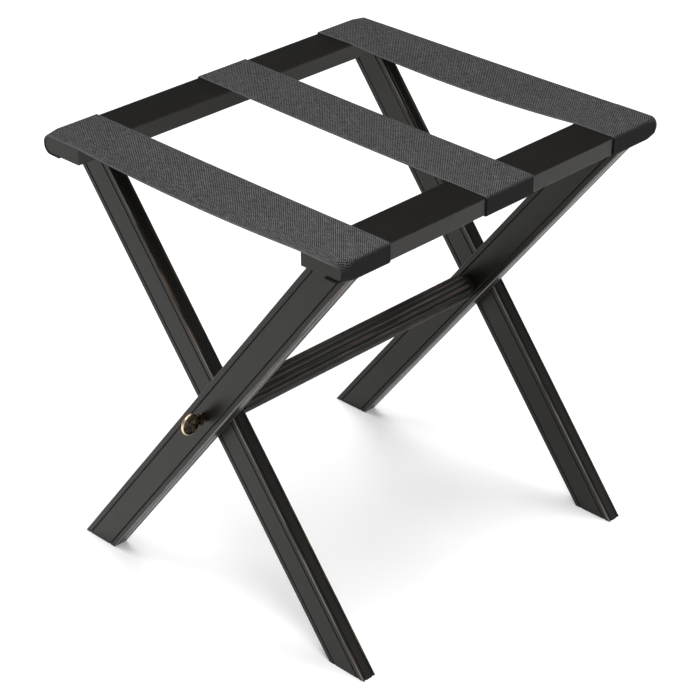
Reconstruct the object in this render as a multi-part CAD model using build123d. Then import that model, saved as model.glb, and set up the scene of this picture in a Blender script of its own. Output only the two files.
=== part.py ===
from build123d import *
import math
import os

# Folding luggage rack. Millimetres, +Z up, floor at z = 0, origin under the middle of the rack.
# X runs from the left rail to the right rail, Y runs along the rails from front to back.

# Driving dimensions
HEIGHT = 510.8              # floor to the top of the straps
RAIL_SPREAD = 440.0         # outer face of one rail to the outer face of the other
RAIL_LENGTH = 486.0
RAIL_WIDTH = 55.0
RAIL_THICK = 19.0
RAIL_NOSE_RADIUS = 8.5      # outer edges where they reach the ends of the rail
RAIL_NOSE_LENGTH = 17.0     # the rounding grows over this length
RAIL_EDGE = 1.0             # easing of the long edges
LEG_WIDTH = 40.8
LEG_THICK = 18.3
LEG_ANGLE = 52.0            # from the floor, with the rack open
LEG_EDGE = 0.8
LEG_PLANE = 210.5           # |y| of the plane between an outer leg and an inner leg
LEG_GAP = 0.8               # room between the two legs for their washer
ROD_DIAMETER = 32.0
FLUTES = 16
STRAP_WIDTH = 73.0
STRAP_THICK = 1.8
SCREW_DIAMETER = 6.0
THUMB_DIAMETER = 24.5       # round thumb plate of the screw

# Where each strap crosses the left rail and the right rail: they lie slightly askew
STRAPS = {"front": (-207.2, -214.3), "middle": (13.7, -1.7), "rear": (204.2, 203.0)}

# Details
GROOVE_DEPTH = 1.1          # V lines scribed along the legs
GROOVE_ON_WIDE = 0.335      # their distance from the centre, as a share of the face
GROOVE_ON_NARROW = 0.30
FLUTE_DEPTH = 1.6
FLUTE_RADIUS = 3.6
ROD_NECK_RADIUS = 12.5      # plain turned neck at each end of the rod
ROD_NECK = 9.0
RUNNING_CLEARANCE = 0.05    # radial, round every part of the screws
FACE_CLEARANCE = 0.05       # between flat faces that slide on each other
CUT_OVERRUN = 1.0           # how far a bore's cutter runs past the face it opens
WASHER_RADIUS = 9.0
INSERT_RADIUS = 4.5
INSERT_LENGTH = 20.0
SCREW_REACH = 17.0          # how far a screw runs into the rod
COLLAR_RADIUS = 5.5
COLLAR_THICK = 1.4
NECK_RADIUS = 4.2
SHOULDER_RADIUS = 6.2       # ring between the neck and the thumb plate
SHOULDER_FROM = 5.0         # its two faces, measured out from the leg
SHOULDER_TO = 7.4
THUMB_THICK = 3.4
THUMB_EDGE_FLAT = 0.3       # left between the two roundings of its edge
THUMB_DISH = 0.8            # depth of the hollow in each side of the thumb plate
THUMB_RIM = 2.2
THUMB_BOSS = 4.4            # radius of the low boss in the middle of the hollow
THUMB_BOSS_STEP = 0.3       # how far the boss stays below the rim
THUMB_STANDOFF = 19.0       # leg face to the middle of the thumb plate
DOWEL_RADIUS = 4.0
DOWEL_SPACING = 16.0
DOWEL_INBOARD = 7.5         # keeps upright dowels inside the sloping leg
DOWEL_IN_RAIL = 12.0
DOWEL_IN_LEG = 20.0
STRAP_UNDER = 22.0          # how far a strap end runs back under its rail
STRAP_OUTER_RADIUS = 2.6
STRAP_NOTCH_ROOM = 0.3      # round a leg, where the strap end is cut to pass it
STAPLE_CROWN = 10.0
STAPLE_WIRE = 1.1
STAPLE_LEG = 9.0
STAPLE_SPACING = 35.0
STAPLE_INSET = 7.0          # from the cut end of the strap

# Worked out from the above
RAIL_TOP = HEIGHT - STRAP_THICK
RAIL_BOTTOM = RAIL_TOP - RAIL_THICK
PIVOT_Z = RAIL_BOTTOM / 2
RAIL_X = RAIL_SPREAD / 2 - RAIL_WIDTH / 2
INNER_FACE = LEG_PLANE - LEG_GAP / 2 - LEG_THICK
OUTER_FACE = LEG_PLANE + LEG_GAP / 2 + LEG_THICK
LEG_OUTER_Y = LEG_PLANE + LEG_GAP / 2 + LEG_THICK / 2
LEG_INNER_Y = LEG_PLANE - LEG_GAP / 2 - LEG_THICK / 2
LEG_TOP_X = (RAIL_BOTTOM - PIVOT_Z) / math.tan(math.radians(LEG_ANGLE))
ROD_HALF = INNER_FACE - LEG_GAP


def along_y(radius, y_from, y_to, x=0.0, z=PIVOT_Z):
    """A round bar along Y between two y values."""
    middle = (y_from + y_to) / 2
    return Pos(x, middle, z) * Rot(X=90) * Cylinder(radius, abs(y_to - y_from))


def slab(x_size, y_size, z_size, centre):
    """A box given by its sizes and its centre."""
    return Pos(*centre) * Box(x_size, y_size, z_size)


# ---------------------------------------------------------------- legs

def groove(x, y):
    """One V line: a square bar set on its corner, centred on the face it cuts."""
    side = GROOVE_DEPTH * math.sqrt(2)
    return Pos(x, y) * Rot(Z=45) * Rectangle(side, side)


def leg_section():
    """Cross section of a leg, with two V lines in each of its four faces."""
    section = RectangleRounded(LEG_WIDTH, LEG_THICK, LEG_EDGE)
    for side in (-1, 1):
        wide = side * GROOVE_ON_WIDE * LEG_WIDTH
        narrow = side * GROOVE_ON_NARROW * LEG_THICK
        for face in (-1, 1):
            section -= groove(wide, face * LEG_THICK / 2)
            section -= groove(face * LEG_WIDTH / 2, narrow)
    return section


def leg(lean, y):
    """A leg through the pivot; lean +1 puts its top on the +X side, -1 on the -X side."""
    stock = extrude(leg_section(), amount=HEIGHT, both=True)
    tilt = lean * (90.0 - LEG_ANGLE)
    stock = Pos(0, y, PIVOT_Z) * Rot(Y=tilt) * stock
    space = slab(2 * RAIL_SPREAD, 4 * LEG_THICK, RAIL_BOTTOM, (0, y, RAIL_BOTTOM / 2))
    hole = along_y(SCREW_DIAMETER / 2 + RUNNING_CLEARANCE, y - LEG_THICK, y + LEG_THICK)
    shaped = (stock & space) - hole
    for x in dowel_places(lean):
        shaped -= dowel(x, y)
    return shaped


# ---------------------------------------------------------------- dowels between legs and rails

def dowel_places(side):
    """The x of each of the two dowels at the top of a leg."""
    middle = side * (LEG_TOP_X - DOWEL_INBOARD)
    return [middle + step * DOWEL_SPACING / 2 for step in (-1, 1)]


def dowel(x, y):
    """A wooden dowel, upright, across the joint between a leg and its rail."""
    length = DOWEL_IN_RAIL + DOWEL_IN_LEG
    middle = RAIL_BOTTOM + (DOWEL_IN_RAIL - DOWEL_IN_LEG) / 2
    return Pos(x, y, middle) * Cylinder(DOWEL_RADIUS, length)


def dowels(side):
    """The four dowels of one frame."""
    return [dowel(x, y) for y in frame_legs_y(side) for x in dowel_places(side)]


def frame_legs_y(side):
    """The y of the two legs fixed to the rail on this side: each frame has one outer leg."""
    return (-side * LEG_OUTER_Y, side * LEG_INNER_Y)


# ---------------------------------------------------------------- rails

def rail_section(side, y, outer_radius):
    """Section of a rail at one y: its inner edges are eased, its outer edges have their own radius."""
    centre = (side * RAIL_X, y, RAIL_BOTTOM + RAIL_THICK / 2)
    outline = Rectangle(RAIL_WIDTH, RAIL_THICK)
    for edge, radius in ((side, outer_radius), (-side, RAIL_EDGE)):
        corners = [v for v in outline.vertices() if v.X * edge > RAIL_WIDTH / 2 - RAIL_EDGE / 2]
        outline = fillet(corners, radius)
    return Plane(centre, x_dir=(1, 0, 0), z_dir=(0, -1, 0)) * outline


def rail(side):
    """A flat top rail: crisp along its length, with its outer edges rounded over towards its ends."""
    straight = RAIL_LENGTH / 2 - RAIL_NOSE_LENGTH
    body = extrude(rail_section(side, 0, RAIL_EDGE), amount=straight, both=True)
    for end in (-1, 1):
        crisp = rail_section(side, end * straight, RAIL_EDGE)
        nose = rail_section(side, end * RAIL_LENGTH / 2, RAIL_NOSE_RADIUS)
        body += loft([crisp, nose])
    for pin in dowels(side) + staples(side):
        body -= pin
    return body


# ---------------------------------------------------------------- fluted rod

def rod_section():
    """Round section with hollow flutes side by side all the way round."""
    section = Circle(ROD_DIAMETER / 2)
    reach = ROD_DIAMETER / 2 - FLUTE_DEPTH + FLUTE_RADIUS
    for turn in range(FLUTES):
        angle = 360.0 * turn / FLUTES
        section -= Rot(Z=angle) * Pos(reach, 0) * Circle(FLUTE_RADIUS)
    return section


def stretcher():
    """The fluted rod between the inner legs, with necks and bores at its ends."""
    rod = Pos(0, 0, PIVOT_Z) * Rot(X=90) * extrude(rod_section(), amount=ROD_HALF - ROD_NECK, both=True)
    rod += along_y(ROD_NECK_RADIUS, -ROD_HALF, ROD_HALF)
    for end in (-1, 1):
        rod -= along_y(INSERT_RADIUS, end * (ROD_HALF - INSERT_LENGTH), end * (ROD_HALF + CUT_OVERRUN))
    return rod


def insert(end):
    """Threaded brass sleeve pressed into the end of the rod."""
    inner = ROD_HALF - INSERT_LENGTH
    sleeve = along_y(INSERT_RADIUS, end * inner, end * ROD_HALF)
    bore_from = end * (inner - CUT_OVERRUN)
    bore_to = end * (ROD_HALF + CUT_OVERRUN)
    return sleeve - along_y(SCREW_DIAMETER / 2 + RUNNING_CLEARANCE, bore_from, bore_to)


# ---------------------------------------------------------------- screws, collars and washers

def washer(y_near, y_far, radius):
    """A flat ring round the screw, between two y values."""
    overrun = math.copysign(CUT_OVERRUN, y_far - y_near)
    hole_radius = SCREW_DIAMETER / 2 + 2 * RUNNING_CLEARANCE
    return along_y(radius, y_near, y_far) - along_y(hole_radius, y_near - overrun, y_far + overrun)


def thumb_plate(end):
    """The round thumb plate, upright in the plane of the screw, dished on both sides."""
    centre_y = end * (OUTER_FACE + THUMB_STANDOFF)
    plate = Cylinder(THUMB_DIAMETER / 2, THUMB_THICK)
    plate = fillet(plate.edges(), (THUMB_THICK - THUMB_EDGE_FLAT) / 2)
    hollow = Cylinder(THUMB_DIAMETER / 2 - THUMB_RIM, THUMB_DISH)
    for face in (-1, 1):
        plate -= Pos(0, 0, face * (THUMB_THICK - THUMB_DISH) / 2) * hollow
    plate += Cylinder(THUMB_BOSS, THUMB_THICK - 2 * THUMB_BOSS_STEP)
    return Pos(0, centre_y, PIVOT_Z) * Rot(Y=90) * plate


def thumb_screw(end):
    """One thumb screw: round plate, shoulder, neck and a plain shank, in one piece."""
    foot = OUTER_FACE + COLLAR_THICK + FACE_CLEARANCE
    shoulder_in = OUTER_FACE + SHOULDER_FROM
    shoulder_out = OUTER_FACE + SHOULDER_TO
    shank = along_y(SCREW_DIAMETER / 2, end * (ROD_HALF - SCREW_REACH), end * shoulder_in)
    neck = along_y(NECK_RADIUS, end * foot, end * shoulder_in)
    shoulder = along_y(SHOULDER_RADIUS, end * shoulder_in, end * shoulder_out)
    return shank + neck + shoulder + thumb_plate(end)


def collar(end):
    """The brass washer between the thumb screw and the outer leg."""
    return washer(end * OUTER_FACE, end * (OUTER_FACE + COLLAR_THICK), COLLAR_RADIUS)


def leg_washer(end):
    """The washer between the two legs of a crossing."""
    half = LEG_GAP / 2 - FACE_CLEARANCE
    return washer(end * (LEG_PLANE - half), end * (LEG_PLANE + half), WASHER_RADIUS)


def rod_washer(end):
    """The washer between the rod and the inner leg."""
    return washer(end * ROD_HALF, end * (INNER_FACE - FACE_CLEARANCE), WASHER_RADIUS)


# ---------------------------------------------------------------- straps

def strap_wrap(side, y):
    """The end of a strap: over the rail, down its outer face and back under it."""
    width = RAIL_WIDTH + STRAP_THICK
    height = RAIL_THICK + 2 * STRAP_THICK
    x = side * (RAIL_X + STRAP_THICK / 2)
    z = RAIL_BOTTOM + RAIL_THICK / 2
    block = slab(width, STRAP_WIDTH, height, (x, y, z))
    outer = block.edges().filter_by(Axis.Y).sort_by(Axis.X)
    outer = outer[-2:] if side > 0 else outer[:2]
    block = fillet(outer, STRAP_OUTER_RADIUS)
    rail_space = Pos(side * RAIL_X, 0, 0) * slab(RAIL_WIDTH, RAIL_LENGTH * 2, RAIL_THICK, (0, 0, z))
    wrap = block - rail_space
    cut_width = RAIL_WIDTH - STRAP_UNDER
    cut_x = side * (RAIL_X - RAIL_WIDTH / 2 + cut_width / 2)
    wrap -= slab(cut_width, STRAP_WIDTH * 2, STRAP_THICK * 2, (cut_x, y, RAIL_BOTTOM - STRAP_THICK))
    for leg_y in frame_legs_y(side):
        wrap -= leg_notch(side, leg_y)
    for pin in staples(side):
        wrap -= pin
    return wrap


def leg_notch(side, leg_y):
    """The space a leg takes out of the strap end that would lie across its top."""
    leg_top = LEG_WIDTH / math.sin(math.radians(LEG_ANGLE))
    size = (leg_top + 2 * STRAP_NOTCH_ROOM, LEG_THICK + 2 * STRAP_NOTCH_ROOM, 2 * STRAP_THICK)
    return slab(*size, (side * LEG_TOP_X, leg_y, RAIL_BOTTOM - STRAP_THICK))


def strap_span(y_left, y_right):
    """The free run of a strap between the two rails."""
    inner = RAIL_X - RAIL_WIDTH / 2
    half = STRAP_WIDTH / 2
    corners = [
        (-inner, y_left - half),
        (inner, y_right - half),
        (inner, y_right + half),
        (-inner, y_left + half),
    ]
    return Pos(0, 0, RAIL_TOP) * extrude(make_face(Polyline(*corners, close=True)), amount=STRAP_THICK)


def staple(x, y):
    """A staple driven up through the strap into the underside of the rail."""
    under = RAIL_BOTTOM - STRAP_THICK
    crown = slab(STAPLE_WIRE, STAPLE_CROWN, STAPLE_WIRE, (x, y, under - STAPLE_WIRE / 2))
    for side in (-1, 1):
        leg_y = y + side * (STAPLE_CROWN - STAPLE_WIRE) / 2
        top = under - STAPLE_WIRE + STAPLE_LEG
        crown += slab(STAPLE_WIRE, STAPLE_WIRE, STAPLE_LEG, (x, leg_y, top - STAPLE_LEG / 2))
    return crown


def staples(side):
    """Every staple of one rail: two in each strap end, clear of the legs."""
    x = side * (RAIL_SPREAD / 2 - STRAP_UNDER + STAPLE_INSET)
    front_leg, back_leg = sorted(frame_legs_y(side))
    middle_strap = STRAPS["middle"][0 if side < 0 else 1]
    places = (front_leg, middle_strap, back_leg)
    return [staple(x, y + step * STAPLE_SPACING / 2) for y in places for step in (-1, 1)]


# ---------------------------------------------------------------- the whole rack

def rack():
    """Every node of the rack by name."""
    nodes = {
        "rail_left": rail(-1),
        "rail_right": rail(1),
        "leg_front_outer": leg(1, -LEG_OUTER_Y),
        "leg_front_inner": leg(-1, -LEG_INNER_Y),
        "leg_back_inner": leg(1, LEG_INNER_Y),
        "leg_back_outer": leg(-1, LEG_OUTER_Y),
        "stretcher_rod": stretcher(),
        "dowels_left": Compound(dowels(-1)),
        "dowels_right": Compound(dowels(1)),
        "staples_left": Compound(staples(-1)),
        "staples_right": Compound(staples(1)),
    }
    for name, end in (("front", -1), ("back", 1)):
        nodes["thumb_screw_" + name] = thumb_screw(end)
        nodes["screw_collar_" + name] = collar(end)
        nodes["leg_washer_" + name] = leg_washer(end)
        nodes["rod_washer_" + name] = rod_washer(end)
        nodes["threaded_insert_" + name] = insert(end)
    for name, (y_left, y_right) in STRAPS.items():
        nodes["strap_" + name + "_left_wrap"] = strap_wrap(-1, y_left)
        nodes["strap_" + name + "_right_wrap"] = strap_wrap(1, y_right)
        nodes["strap_" + name + "_span"] = strap_span(y_left, y_right)
    return nodes


os.makedirs("parts", exist_ok=True)
for node, shape in rack().items():
    export_step(shape, os.path.join("parts", node + ".step"))
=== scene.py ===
import math

import bmesh
import bpy
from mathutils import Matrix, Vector


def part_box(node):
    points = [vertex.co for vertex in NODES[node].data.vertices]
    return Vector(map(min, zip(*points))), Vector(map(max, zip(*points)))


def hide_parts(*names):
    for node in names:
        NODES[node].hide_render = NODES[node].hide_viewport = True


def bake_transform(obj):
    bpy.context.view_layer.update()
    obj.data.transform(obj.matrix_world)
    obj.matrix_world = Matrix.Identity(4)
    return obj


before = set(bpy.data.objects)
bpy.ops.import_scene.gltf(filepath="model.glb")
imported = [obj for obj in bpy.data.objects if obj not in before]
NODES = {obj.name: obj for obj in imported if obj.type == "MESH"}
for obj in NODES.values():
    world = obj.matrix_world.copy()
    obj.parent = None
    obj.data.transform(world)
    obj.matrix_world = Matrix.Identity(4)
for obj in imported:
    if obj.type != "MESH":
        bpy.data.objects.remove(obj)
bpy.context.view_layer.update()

# Folding luggage rack: materials for the wooden and metal parts that the frame holds, the three
# webbing straps, a pale floor and soft light. Metres, in the row frame.

# ---------------------------------------------------------------- places taken from the frame

MM = 0.001
LEGS = (                        # each leg, with 1 where its top is on the right and -1 on the left
    ("leg_front_outer", 1),
    ("leg_back_inner", 1),
    ("leg_front_inner", -1),
    ("leg_back_outer", -1),
)


def low(node):
    return Vector(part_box(node)[0])


def high(node):
    return Vector(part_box(node)[1])


RAIL_TOP = high("rail_left").z
RAIL_BOTTOM = low("rail_left").z
RAIL_OUTER = high("rail_right").x
RAIL_INNER = low("rail_right").x
RAIL_END = high("rail_right").y
PIVOT_Z = (low("stretcher_rod").z + high("stretcher_rod").z) / 2
LEG_TOP = high("leg_front_outer").x
LEG_LEAN = math.radians(52.0)   # from the floor, as in part.py
LEG_WIDTH = (2 * LEG_TOP - RAIL_BOTTOM / math.tan(LEG_LEAN)) * math.sin(LEG_LEAN)
LEG_THICK = high("leg_front_outer").y - low("leg_front_outer").y
ROD_RADIUS = high("stretcher_rod").z - PIVOT_Z
STRAP_THICK = high("strap_middle_span").z - RAIL_TOP
THUMB_RADIUS = 12.25 * MM       # as in part.py
GROOVE_ON_WIDE = 0.335          # scribed lines on a leg, from the middle, as a share of the face
GROOVE_ON_NARROW = 0.30
GROOVE_HALF = 0.9 * MM
GROOVE_REACH = 2.0 * MM         # a scribed line has faded out this far below its own face


# ---------------------------------------------------------------- material building blocks

class Graph:
    """A material's node tree, with short calls for the nodes that this scene uses."""

    def __init__(self, name):
        self.material = bpy.data.materials.new(name)
        self.material.use_nodes = True
        self.tree = self.material.node_tree
        self.shader = self.tree.nodes["Principled BSDF"]

    def node(self, kind, **settings):
        made = self.tree.nodes.new(kind)
        for key, value in settings.items():
            setattr(made, key, value)
        return made

    def put(self, socket, value):
        """Links a node's output to a socket, or sets the socket's own value."""
        if hasattr(value, "is_linked"):
            self.tree.links.new(value, socket)
        else:
            socket.default_value = value

    def set(self, name, value):
        self.put(self.shader.inputs[name], value)

    def math(self, operation, *values):
        made = self.node("ShaderNodeMath", operation=operation)
        for socket, value in zip(made.inputs, values):
            self.put(socket, value)
        return made.outputs[0]

    def ramp(self, value, low_at, high_at, low_to=0.0, high_to=1.0):
        """A smooth step from low_to at low_at to high_to at high_at."""
        made = self.node("ShaderNodeMapRange", interpolation_type="SMOOTHSTEP")
        limits = {"From Min": low_at, "From Max": high_at, "To Min": low_to, "To Max": high_to}
        for name, number in limits.items():
            made.inputs[name].default_value = number
        self.put(made.inputs["Value"], value)
        return made.outputs[0]

    def noise(self, vector, scale, detail=3.0, roughness=0.5):
        made = self.node("ShaderNodeTexNoise")
        self.put(made.inputs["Vector"], vector)
        self.put(made.inputs["Scale"], scale)
        self.put(made.inputs["Detail"], detail)
        self.put(made.inputs["Roughness"], roughness)
        return made.outputs["Fac"]

    def mix(self, factor, first, second):
        made = self.node("ShaderNodeMix", data_type="RGBA")
        self.put(made.inputs[0], factor)
        self.put(made.inputs[6], first)
        self.put(made.inputs[7], second)
        return made.outputs[2]

    def bump(self, height, strength, distance):
        made = self.node("ShaderNodeBump")
        self.put(made.inputs["Height"], height)
        self.put(made.inputs["Strength"], strength)
        self.put(made.inputs["Distance"], distance)
        return made.outputs[0]

    def place(self, location=(0, 0, 0), rotation=(0, 0, 0), scale=(1, 1, 1)):
        """Object coordinates, turned and moved so that location becomes the origin."""
        coordinates = self.node("ShaderNodeTexCoord").outputs["Object"]
        made = self.node("ShaderNodeMapping", vector_type="TEXTURE")
        self.put(made.inputs["Vector"], coordinates)
        self.put(made.inputs["Location"], location)
        self.put(made.inputs["Rotation"], rotation)
        self.put(made.inputs["Scale"], scale)
        return made.outputs[0]

    def split(self, vector):
        made = self.node("ShaderNodeSeparateXYZ")
        self.put(made.inputs[0], vector)
        return made.outputs

    def stretch(self, vector, scale):
        made = self.node("ShaderNodeVectorMath", operation="MULTIPLY")
        self.put(made.inputs[0], vector)
        self.put(made.inputs[1], scale)
        return made.outputs[0]


def grey(value, warm=0.0):
    """A linear grey, slightly warmer or cooler."""
    return (value * (1 + warm), value, value * (1 - warm), 1.0)


# ---------------------------------------------------------------- wood

LACQUER = grey(0.0055, 0.10)
LACQUER_DEEP = grey(0.0030, 0.10)
# painted shade: the scribed grooves on the legs and the hollows of the rod's flutes are painted
# darker than the lacquer
GROOVE_PAINTED_SHADE = grey(0.0012, 0.0)
RUBBED = (0.085, 0.045, 0.028, 1.0)
PALE_EDGE_HIGHLIGHT = (0.22, 0.21, 0.20, 1.0)  # a painted highlight: a pale line on the sharpest edges of the lacquer
WOOD_GRAIN = (900.0, 900.0, 18.0)    # grain lines across, across and along the piece
RUB_PATCHES = (160.0, 160.0, 26.0)   # where the lacquer is rubbed through to brown
HIGHLIGHT_DASHES = (60.0, 60.0, 9.0)     # where the painted highlight on the sharpest edges breaks into dashes
CLOUD_SCALE = 22.0                   # slow changes of gloss
FINE_SCALE = 420.0                   # small relief in the lacquer
LACQUER_ROUGHNESS = 0.27             # and what the clouds, the grooves and the grain add to it
CLOUD_ROUGHNESS = 0.10
GROOVE_ROUGHNESS = 0.6
GRAIN_ROUGHNESS = 0.07
LACQUER_SPECULAR = 0.29
LACQUER_TINT = (1.0, 0.975, 0.92, 1.0)
DOWEL_DARK = (0.42, 0.27, 0.14, 1)
DOWEL_LIGHT = (0.62, 0.45, 0.27, 1)


def lacquer(graph, local, worn, worn_amount, edge_highlight=0.0, sunk=0.0):
    """Satin black lacquer over wood: faint grain, uneven gloss, brown where rubbed through; pale
    dashes of painted highlight on the sharpest edges and painted shade in grooves.
    """
    grain = graph.noise(graph.stretch(local, WOOD_GRAIN), 1.0, 4.0, 0.6)
    cloud = graph.noise(local, CLOUD_SCALE, 3.0)
    fine = graph.noise(local, FINE_SCALE, 2.0)
    patch = graph.noise(graph.stretch(local, RUB_PATCHES), 1.0, 3.0)
    patch = graph.ramp(patch, 0.46, 0.66)
    dash = graph.noise(graph.stretch(local, HIGHLIGHT_DASHES), 1.0, 4.0)
    dash = graph.ramp(dash, 0.40, 0.62)
    rub = graph.math("MULTIPLY", graph.math("MULTIPLY", worn, patch), worn_amount)
    base = graph.mix(graph.ramp(grain, 0.35, 0.75), LACQUER_DEEP, LACQUER)
    base = graph.mix(rub, base, RUBBED)
    # painted highlight: pale dashes along the sharpest edges
    base = graph.mix(graph.math("MULTIPLY", edge_highlight, dash), base, PALE_EDGE_HIGHLIGHT)
    # painted shade: darker where the sunk mask marks a groove or a flute hollow
    graph.set("Base Color", graph.mix(sunk, base, GROOVE_PAINTED_SHADE))
    gloss = graph.math("MULTIPLY_ADD", cloud, CLOUD_ROUGHNESS, LACQUER_ROUGHNESS)
    gloss = graph.math("MULTIPLY_ADD", sunk, GROOVE_ROUGHNESS, gloss)
    graph.set("Roughness", graph.math("MULTIPLY_ADD", grain, GRAIN_ROUGHNESS, gloss))
    relief = graph.math("MULTIPLY_ADD", fine, 0.35, grain)
    graph.set("Normal", graph.bump(relief, 0.10, 0.0004))
    graph.set("Specular IOR Level", LACQUER_SPECULAR)
    graph.set("Specular Tint", LACQUER_TINT)


def edge_wear(graph, across, half, width):
    """1 close to the arris at half from the middle, 0 a width further in."""
    distance = graph.math("SUBTRACT", half, graph.math("ABSOLUTE", across))
    return graph.ramp(distance, width, 0.0, 0.0, 1.0)


def line_at(graph, across, place, width):
    """1 along two lines at plus and minus place, fading to 0 a width away."""
    distance = graph.math("SUBTRACT", graph.math("ABSOLUTE", across), place)
    return graph.ramp(graph.math("ABSOLUTE", distance), width, 0.4 * width, 0.0, 1.0)


def leg_wood(name, lean, y):
    """Leg lacquer: coordinates run across the wide face, across the thickness and along the leg."""
    graph = Graph(name)
    tilt = lean * (math.pi / 2 - LEG_LEAN)
    local = graph.place((0, y, PIVOT_Z), (0, tilt, 0))
    across, through, _ = graph.split(local)
    wide = edge_wear(graph, across, LEG_WIDTH / 2, 1.6 * MM)
    narrow = edge_wear(graph, through, LEG_THICK / 2, 4.2 * MM)
    arris = graph.math("MULTIPLY", wide, edge_wear(graph, through, LEG_THICK / 2, 1.3 * MM))
    on_wide = line_at(graph, across, GROOVE_ON_WIDE * LEG_WIDTH, GROOVE_HALF)
    on_narrow = line_at(graph, through, GROOVE_ON_NARROW * LEG_THICK, GROOVE_HALF)
    below_wide = edge_wear(graph, through, LEG_THICK / 2, GROOVE_REACH)
    on_wide = graph.math("MULTIPLY", on_wide, below_wide)
    below_narrow = edge_wear(graph, across, LEG_WIDTH / 2, GROOVE_REACH)
    on_narrow = graph.math("MULTIPLY", on_narrow, below_narrow)
    sunk = graph.math("MAXIMUM", on_wide, on_narrow)
    # the arrises carry the pale painted highlight, the scribed grooves the painted shade
    lacquer(graph, local, graph.math("MULTIPLY", wide, narrow), 0.9, arris, sunk)
    return graph.material


def rail_wood(name, side):
    """Rail lacquer: the grain runs along Y."""
    graph = Graph(name)
    middle = side * (RAIL_OUTER + RAIL_INNER) / 2
    local = graph.place((middle, 0, (RAIL_TOP + RAIL_BOTTOM) / 2), (math.pi / 2, 0, 0))
    across, up, _ = graph.split(local)
    wide = edge_wear(graph, across, (RAIL_OUTER - RAIL_INNER) / 2, 1.2 * MM)
    tall = edge_wear(graph, up, (RAIL_TOP - RAIL_BOTTOM) / 2, 1.2 * MM)
    lacquer(graph, local, graph.math("MULTIPLY", wide, tall), 0.35)
    return graph.material


def rod_wood(name):
    """Turned and fluted rod: rubbed through along the arrises between its flutes, with a faint
    painted highlight on the crests and painted shade in the flute hollows.
    """
    graph = Graph(name)
    local = graph.place((0, 0, PIVOT_Z), (math.pi / 2, 0, 0))
    x, up, _ = graph.split(local)
    square = graph.math("ADD", graph.math("MULTIPLY", x, x), graph.math("MULTIPLY", up, up))
    radius = graph.math("SQRT", square)
    crest = graph.ramp(radius, ROD_RADIUS - 0.9 * MM, ROD_RADIUS - 0.2 * MM)
    hollow = graph.ramp(radius, ROD_RADIUS - 0.9 * MM, ROD_RADIUS - 1.5 * MM)
    # painted highlight: a faint pale line along the crests between the flutes
    crest_highlight = graph.math("MULTIPLY", crest, 0.12)
    # painted shade: the flute hollows painted darker
    hollow_shade = graph.math("MULTIPLY", hollow, 0.5)
    lacquer(graph, local, crest, 0.6, crest_highlight, hollow_shade)
    return graph.material


def raw_wood(name):
    """Bare dowel wood."""
    graph = Graph(name)
    local = graph.place()
    grain = graph.noise(graph.stretch(local, (1400.0, 1400.0, 60.0)), 1.0, 4.0)
    graph.set("Base Color", graph.mix(grain, DOWEL_DARK, DOWEL_LIGHT))
    graph.set("Roughness", graph.math("MULTIPLY_ADD", grain, 0.2, 0.6))
    graph.set("Normal", graph.bump(grain, 0.3, 0.0003))
    return graph.material


# ---------------------------------------------------------------- metal

PATINA_DARK = (0.035, 0.027, 0.018, 1)
PATINA_LIGHT = (0.17, 0.13, 0.09, 1)
BRASS_RUBBED = (0.80, 0.63, 0.45, 1)
STEEL = (0.55, 0.55, 0.56, 1)
INSERT_BRASS = (0.60, 0.44, 0.22, 1)


def aged_brass(name, centre, rim_radius, inward):
    """Antique brass: dark bronze patina, rubbed bright on the outer edge of the rim."""
    graph = Graph(name)
    local = graph.place(centre)
    reach = graph.node("ShaderNodeVectorMath", operation="LENGTH")
    graph.put(reach.inputs[0], local)
    _, y, _ = graph.split(local)
    cloud = graph.noise(local, 260.0, 4.0, 0.6)
    rim = graph.ramp(reach.outputs["Value"], rim_radius - 1.1 * MM, rim_radius - 0.4 * MM)
    plate = graph.ramp(graph.math("MULTIPLY", y, inward), 10.6 * MM, 9.6 * MM)
    bright = graph.math("MULTIPLY", rim, plate)
    bright = graph.math("MULTIPLY", bright, graph.ramp(cloud, 0.15, 0.45))
    patina = graph.mix(graph.ramp(cloud, 0.40, 0.75), PATINA_DARK, PATINA_LIGHT)
    graph.set("Base Color", graph.mix(bright, patina, BRASS_RUBBED))
    graph.set("Metallic", 1.0)
    graph.set("Roughness", graph.math("MULTIPLY_ADD", cloud, 0.18, 0.22))
    graph.set("Normal", graph.bump(cloud, 0.25, 0.0003))
    return graph.material


def plain_metal(name, colour):
    """Washers, inserts and staples: drawn metal with fine scratches."""
    graph = Graph(name)
    local = graph.place()
    scratch = graph.noise(graph.stretch(local, (900.0, 90.0, 900.0)), 1.0, 4.0, 0.6)
    graph.set("Base Color", graph.mix(scratch, tuple(0.7 * c for c in colour[:3]) + (1,), colour))
    graph.set("Metallic", 1.0)
    graph.set("Roughness", graph.math("MULTIPLY_ADD", scratch, 0.25, 0.25))
    graph.set("Normal", graph.bump(scratch, 0.15, 0.0002))
    return graph.material


# ---------------------------------------------------------------- webbing

RIB = 1.3 * MM         # one weft rib, along the strap
YARN = 2.6 * MM        # one pair of warp yarns, across the strap
DARK_YARN = grey(0.004, 0.0)
LIGHT_YARN = grey(0.152, 0.0)
# painted shade: the light yarn's colour where a strap turns down round a rail and runs under it
TURNED_SIDE_SHADE = grey(0.008, 0.02)
EDGE_CORD = 1.6 * MM   # the selvedge, woven tighter and lighter than the rest
WARP_DRIFT = (35.0, 260.0, 1.0)      # noise over the weave: along, across
SLUBS = (110.0, 620.0, 1.0)
FUZZ = (2100.0, 1500.0, 1.0)
BROAD_TONE = (14.0, 30.0, 1.0)


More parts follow.
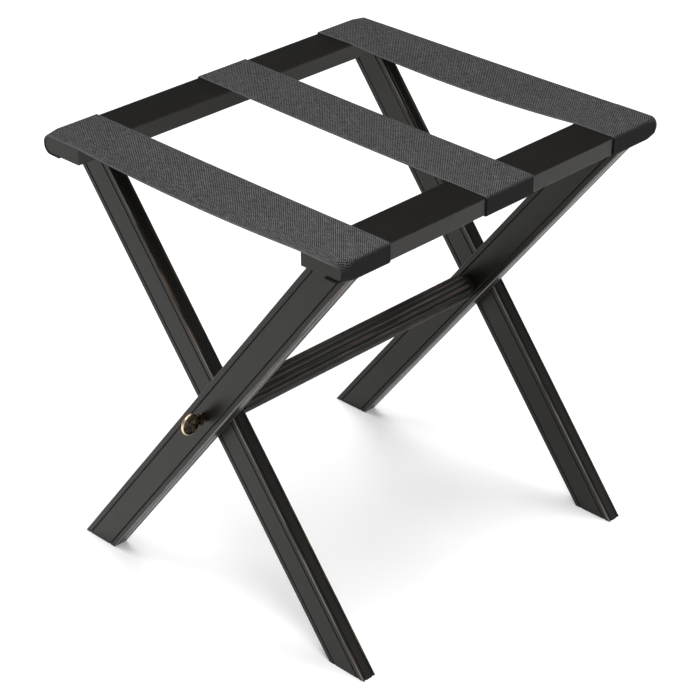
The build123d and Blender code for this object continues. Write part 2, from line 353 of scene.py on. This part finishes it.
def webbing(name, width):
    """Coarse black and grey webbing. The weave follows the strap's own length and width. Where the
    strap turns down round a rail, the light yarn is painted nearly black: painted shade on its
    sides and underside.
    """
    graph = Graph(name)
    weave = graph.node("ShaderNodeUVMap", uv_map="weave").outputs[0]
    warp = graph.noise(graph.stretch(weave, WARP_DRIFT), 1.0, 2.0)
    along, across, _ = graph.split(weave)
    shifted = graph.math("MULTIPLY_ADD", warp, 1.9 * RIB, along)
    wave_along = graph.math("SINE", graph.math("MULTIPLY", shifted, math.pi / RIB))
    wave_across = graph.math("SINE", graph.math("MULTIPLY", across, 2 * math.pi / YARN))
    check = graph.math("MULTIPLY", wave_along, wave_across)
    slub = graph.noise(graph.stretch(weave, SLUBS), 1.0, 3.0)
    fuzz = graph.noise(graph.stretch(weave, FUZZ), 1.0, 2.0)
    broad = graph.noise(graph.stretch(weave, BROAD_TONE), 1.0, 2.0)
    uneven = graph.math("MULTIPLY_ADD", slub, 1.7, -0.95)
    over = graph.ramp(graph.math("ADD", check, uneven), -0.10, 0.50)
    middle = graph.math("SUBTRACT", across, width / 2)
    cord = edge_wear(graph, middle, width / 2, EDGE_CORD)
    over = graph.math("MAXIMUM", over, graph.math("MULTIPLY", cord, 0.55))
    dim = tuple(0.55 * c for c in LIGHT_YARN[:3]) + (1,)
    full = tuple(1.45 * c for c in LIGHT_YARN[:3]) + (1,)
    light = graph.mix(graph.math("MULTIPLY", graph.math("ADD", fuzz, broad), 0.5), dim, full)
    face = graph.mix(over, DARK_YARN, light)
    # painted shade: the turned-down sides and underside take the near-black colour
    turned = graph.node("ShaderNodeAttribute", attribute_name="turned").outputs["Fac"]
    side = graph.mix(over, DARK_YARN, TURNED_SIDE_SHADE)
    graph.set("Base Color", graph.mix(turned, face, side))
    graph.set("Roughness", graph.math("MULTIPLY_ADD", fuzz, 0.2, 0.75))
    height = graph.math("MULTIPLY_ADD", fuzz, 0.25, graph.math("ABSOLUTE", check))
    graph.set("Normal", graph.bump(height, 0.45, 0.0005))
    graph.set("Specular IOR Level", 0.15)
    graph.set("Sheen Weight", 0.02)
    return graph.material


# ---------------------------------------------------------------- straps

class Strap:
    """One strap: its near and far edges on each rail, from the frame, and how far they sag."""

    def __init__(self, name, near_sag, far_sag):
        wraps = ["strap_" + name + "_left_wrap", "strap_" + name + "_right_wrap"]
        self.name = name
        self.near = [low(wrap).y for wrap in wraps]
        self.far = [high(wrap).y for wrap in wraps]
        self.near_sag = near_sag
        self.far_sag = far_sag

    def y(self, x, across):
        """The y of a point across the strap, from 0 at the near edge to 1 at the far edge."""
        share = (x + RAIL_OUTER) / (2 * RAIL_OUTER)
        near = self.near[0] + (self.near[1] - self.near[0]) * share
        far = self.far[0] + (self.far[1] - self.far[0]) * share
        return near + (far - near) * across

    def sag(self, x, across):
        """How far the free span hangs below the rails at this point."""
        if abs(x) >= RAIL_INNER:
            return 0.0
        slack = 1 - (x / RAIL_INNER) ** 2
        depth = self.near_sag * (1 - across) ** 2 + self.far_sag * across ** 2
        return depth * slack


STRAPS = (
    Strap("front", 4.5 * MM, 0.6 * MM),
    Strap("middle", 0.8 * MM, 0.8 * MM),
    Strap("rear", 6.0 * MM, 0.5 * MM),
)
TAIL = 22 * MM                 # how far a strap end runs back under its rail
CORNER = 1.0 * MM              # outer edges of a rail along its length
NOSE = 8.5 * MM                # and at its ends, where they are rounded over
NOSE_LENGTH = 17 * MM
OVERHANG = 1.5 * MM            # how far a turned-down strap may pass its rail's end
NOTCH_ROOM = 0.4 * MM
ACROSS_STEPS = 30
SPAN_STEPS = 72
CORNER_STEPS = 8
TAIL_STEPS = 6
TOP_STEPS = 8
EDGE_COLUMNS = (0.0, 0.6 * MM, 1.4 * MM, 2.2 * MM, 3.2 * MM)   # places next to a strap's edge
SELVEDGE = ((0.3 * MM, 0.45), (1.0 * MM, 0.95), (2.6 * MM, 1.12))  # up to here, this share of half


def corner_radius(y):
    """Radius of the webbing's middle line round a rail's outer edges, larger over its nose."""
    over_nose = (abs(y) - (RAIL_END - NOSE_LENGTH)) / NOSE_LENGTH
    share = max(0.0, min(1.0, over_nose))
    return CORNER + (NOSE - CORNER) * share + STRAP_THICK / 2


def wrap_profile(side, radius):
    """The middle line round one rail as (x, z, turned), from the tail to the rail's inner edge."""
    outside = RAIL_OUTER + STRAP_THICK / 2
    top = RAIL_TOP + STRAP_THICK / 2
    bottom = RAIL_BOTTOM - STRAP_THICK / 2
    points = []
    for i in range(TAIL_STEPS):
        x = RAIL_OUTER - TAIL + (TAIL + STRAP_THICK / 2 - radius) * i / TAIL_STEPS
        points.append((x, bottom, 1.0))
    for i in range(CORNER_STEPS + 1):
        angle = math.pi / 2 * (i / CORNER_STEPS - 1)
        x = outside - radius + radius * math.cos(angle)
        z = bottom + radius + radius * math.sin(angle)
        points.append((x, z, 1.0))
    for i in range(CORNER_STEPS + 1):
        angle = math.pi / 2 * i / CORNER_STEPS
        x = outside - radius + radius * math.cos(angle)
        z = top - radius + radius * math.sin(angle)
        points.append((x, z, 1.0 - i / CORNER_STEPS))
    for i in range(1, TOP_STEPS + 1):
        x = outside - radius + (RAIL_INNER - outside + radius) * i / TOP_STEPS
        points.append((x, top, 0.0))
    return [(side * x, z, turned) for x, z, turned in points]


def strap_line(strap, across):
    """The strap's middle line at one place across it, from the left tail to the right tail."""
    left_y = strap.y(-RAIL_OUTER, across)
    right_y = strap.y(RAIL_OUTER, across)
    line = wrap_profile(-1, corner_radius(left_y))
    top = RAIL_TOP + STRAP_THICK / 2
    for i in range(1, SPAN_STEPS):
        x = -RAIL_INNER + 2 * RAIL_INNER * i / SPAN_STEPS
        line.append((x, top, 0.0))
    line += reversed(wrap_profile(1, corner_radius(right_y)))
    points = []
    for x, z, turned in line:
        y = strap.y(x, across)
        held = max(-RAIL_END - OVERHANG, min(RAIL_END + OVERHANG, y))
        place = Vector((x, y + (held - y) * turned, z - strap.sag(x, across)))
        points.append((place, turned))
    return points


def selvedge(distance):
    """Half the strap's thickness by the distance from its edge: thin, then a slight cord."""
    half = STRAP_THICK / 2
    for reach, share in SELVEDGE:
        if distance < reach:
            return share * half
    return half


def across_places(strap):
    """Places across the strap, closer together at its two edges."""
    width = abs(strap.far[0] - strap.near[0])
    edge = [place / width for place in EDGE_COLUMNS]
    inner = [edge[-1] + (1 - 2 * edge[-1]) * i / ACROSS_STEPS for i in range(1, ACROSS_STEPS)]
    return edge + inner + [1 - e for e in reversed(edge)]


LEG_TOPS = [
    (side, low(node).y - NOTCH_ROOM, high(node).y + NOTCH_ROOM) for node, side in LEGS
]


def leg_under(y, x):
    """True where a leg's top stands against the rail, so the strap's tail is cut away."""
    for side, near, far in LEG_TOPS:
        if side * x > 0 and near < y < far and abs(x) < LEG_TOP + NOTCH_ROOM:
            return True
    return False


def strap_mesh(strap):
    """A closed band of webbing: the middle line's grid with thickness, notched for the legs."""
    places = across_places(strap)
    lines = [strap_line(strap, across) for across in places]
    columns, rows = len(places), len(lines[0])
    width = abs(strap.far[0] - strap.near[0])
    upper, lower, turned = [], [], []
    lengths = [[0.0] for _ in lines]
    for c, line in enumerate(lines):
        half = selvedge(min(places[c], 1 - places[c]) * width)
        for r, (point, turn) in enumerate(line):
            before = line[max(r - 1, 0)][0]
            after = line[min(r + 1, rows - 1)][0]
            run = (after - before).normalized()
            normal = run.cross(Vector((0, 1, 0))).normalized() * -1
            upper.append(point + normal * half)
            lower.append(point - normal * half)
            turned.append(turn)
            if r:
                lengths[c].append(lengths[c][-1] + (point - line[r - 1][0]).length)
    kept = set()
    for c in range(columns - 1):
        for r in range(rows - 1):
            middle = (lines[c][r][0] + lines[c + 1][r + 1][0]) / 2
            if not (middle.z < RAIL_BOTTOM and leg_under(middle.y, middle.x)):
                kept.add((c, r))
    across = [place * width for place in places]
    return grid_solid("strap_" + strap.name, upper, lower, rows, kept, lengths, across, turned)


def grid_solid(name, upper, lower, rows, kept, lengths, across, turned):
    """A closed mesh from two layers of one grid, walled wherever a neighbouring cell is missing."""
    count = len(upper)
    faces = []
    for c, r in sorted(kept):
        a, b = c * rows + r, (c + 1) * rows + r
        faces.append((a, b, b + 1, a + 1))
        faces.append((count + a, count + a + 1, count + b + 1, count + b))
        if (c - 1, r) not in kept:
            faces.append((a, a + 1, count + a + 1, count + a))
        if (c + 1, r) not in kept:
            faces.append((b + 1, b, count + b, count + b + 1))
        if (c, r - 1) not in kept:
            faces.append((b, a, count + a, count + b))
        if (c, r + 1) not in kept:
            faces.append((a + 1, b + 1, count + b + 1, count + a + 1))
    mesh = bpy.data.meshes.new(name)
    mesh.from_pydata([tuple(p) for p in upper + lower], [], faces)
    weave = mesh.uv_layers.new(name="weave")
    for loop in mesh.loops:
        c, r = divmod(loop.vertex_index % count, rows)
        weave.data[loop.index].uv = (lengths[c][r], across[c])
    # how far each point is turned down round a rail, which the webbing uses to paint those parts
    # dark as painted shade
    layer = mesh.attributes.new("turned", "FLOAT", "POINT")
    layer.data.foreach_set("value", turned + turned)
    mesh.polygons.foreach_set("use_smooth", [True] * len(mesh.polygons))
    piece = bpy.data.objects.new(name, mesh)
    bpy.context.scene.collection.objects.link(piece)
    drop_loose(piece)
    return piece


def drop_loose(piece):
    """Takes away the points that no face uses."""
    work = bmesh.new()
    work.from_mesh(piece.data)
    loose = [v for v in work.verts if not v.link_faces]
    bmesh.ops.delete(work, geom=loose, context="VERTS")
    bmesh.ops.recalc_face_normals(work, faces=work.faces)
    work.to_mesh(piece.data)
    work.free()


def add_straps():
    first = STRAPS[0]
    cloth = webbing("webbing", first.far[0] - first.near[0])
    for strap in STRAPS:
        piece = strap_mesh(strap)
        piece.data.materials.append(cloth)
        parts = ["strap_" + strap.name + end for end in ("_left_wrap", "_span", "_right_wrap")]
        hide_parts(*parts)
        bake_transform(piece)


# ---------------------------------------------------------------- finishing the frame's own parts

def paint(node, material):
    """Gives a carried-over part its material."""
    part = NODES[node]
    for slot in part.material_slots:
        slot.material = material


def paint_frame():
    for node, lean in LEGS:
        middle = (low(node).y + high(node).y) / 2
        paint(node, leg_wood(node + "_lacquer", lean, middle))
    paint("rail_left", rail_wood("rail_left_lacquer", -1))
    paint("rail_right", rail_wood("rail_right_lacquer", 1))
    paint("stretcher_rod", rod_wood("rod_lacquer"))
    steel = plain_metal("steel", STEEL)
    brass = plain_metal("insert_brass", INSERT_BRASS)
    dowel = raw_wood("dowel_wood")
    for side in ("left", "right"):
        paint("dowels_" + side, dowel)
        paint("staples_" + side, steel)
    for end, sign in (("front", -1), ("back", 1)):
        screw = "thumb_screw_" + end
        outer = low(screw).y if sign < 0 else high(screw).y
        centre = (0, outer - sign * THUMB_RADIUS, PIVOT_Z)
        paint(screw, aged_brass(screw + "_brass", centre, THUMB_RADIUS, -sign))
        paint("screw_collar_" + end, aged_brass(end + "_collar_brass", (0, 0, PIVOT_Z), 1.0, -sign))
        paint("threaded_insert_" + end, brass)
        paint("leg_washer_" + end, steel)
        paint("rod_washer_" + end, steel)


# ---------------------------------------------------------------- floor, light and camera

FLOOR_HALF = 9.0
RIM_HALF = 16.0        # the floor rises gently from FLOOR_HALF out to here
RIM_HEIGHT = 2.2
FLOOR_DROP = 0.4 * MM  # room under the feet, so that no two faces share a plane
FLOOR_GLOW = 0.25
WORLD_GREY = (0.022, 0.022, 0.022, 1)


def floor():
    """A plain pale floor whose far edges rise, so that no horizon shows from a low angle."""
    mesh = bpy.data.meshes.new("floor")
    turns = ((-1, -1), (1, -1), (1, 1), (-1, 1))
    corners = [(x * FLOOR_HALF, y * FLOOR_HALF, 0) for x, y in turns]
    corners += [(x * RIM_HALF, y * RIM_HALF, RIM_HEIGHT) for x, y in turns]
    faces = [(0, 1, 2, 3)]
    for i in range(4):
        after = (i + 1) % 4
        faces.append((i, 4 + i, 4 + after, after))
    mesh.from_pydata(corners, [], faces)
    plane = bpy.data.objects.new("floor", mesh)
    plane.location.z = -FLOOR_DROP
    bpy.context.scene.collection.objects.link(plane)
    graph = Graph("floor_paper")
    graph.set("Base Color", grey(0.88))
    graph.set("Roughness", 0.9)
    graph.set("Specular IOR Level", 0.0)
    graph.set("Emission Color", (1, 1, 1, 1))
    graph.set("Emission Strength", FLOOR_GLOW)
    mesh.materials.append(graph.material)


def panel(name, place, target, size, energy):
    """A square area light at place, facing the target."""
    light = bpy.data.lights.new(name, "AREA")
    light.energy = energy
    light.size = size
    lamp = bpy.data.objects.new(name, light)
    lamp.location = place
    lamp.rotation_euler = (Vector(target) - lamp.location).to_track_quat("-Z", "Y").to_euler()
    bpy.context.scene.collection.objects.link(lamp)


def lights():
    """A soft overhead light, a weaker one from the front right, a pale wall behind on the right."""
    sky = bpy.data.lights.new("overhead", "SUN")
    sky.energy = 3.3
    sky.angle = math.radians(60)
    lamp = bpy.data.objects.new("overhead", sky)
    lamp.rotation_euler = (math.radians(-6), math.radians(-8), 0)
    bpy.context.scene.collection.objects.link(lamp)
    panel("front_right", (0.55, -0.60, 1.20), (0.20, -0.25, 0.5), 0.5, 6.0)
    panel("wall_right", (1.65, 1.25, 0.70), (0.15, -0.2, 0.1), 1.1, 3.8)
    world = bpy.data.worlds.new("studio")
    world.use_nodes = True
    world.node_tree.nodes["Background"].inputs[0].default_value = WORLD_GREY
    bpy.context.scene.world = world


CAMERA_PLACE = (1.4680, -1.5182, 1.4235)
CAMERA_TURN = (60.62, 0.105, 44.091)     # degrees about X, Y and Z
CAMERA_LENS = 110.25
CAMERA_SENSOR = 36.0


def camera():
    data = bpy.data.cameras.new("camera")
    data.lens = CAMERA_LENS
    data.sensor_width = CAMERA_SENSOR
    eye = bpy.data.objects.new("camera", data)
    eye.location = CAMERA_PLACE
    eye.rotation_euler = [math.radians(a) for a in CAMERA_TURN]
    bpy.context.scene.collection.objects.link(eye)
    bpy.context.scene.camera = eye


paint_frame()
add_straps()
floor()
lights()
camera()
bpy.context.scene.view_settings.view_transform = "Standard"
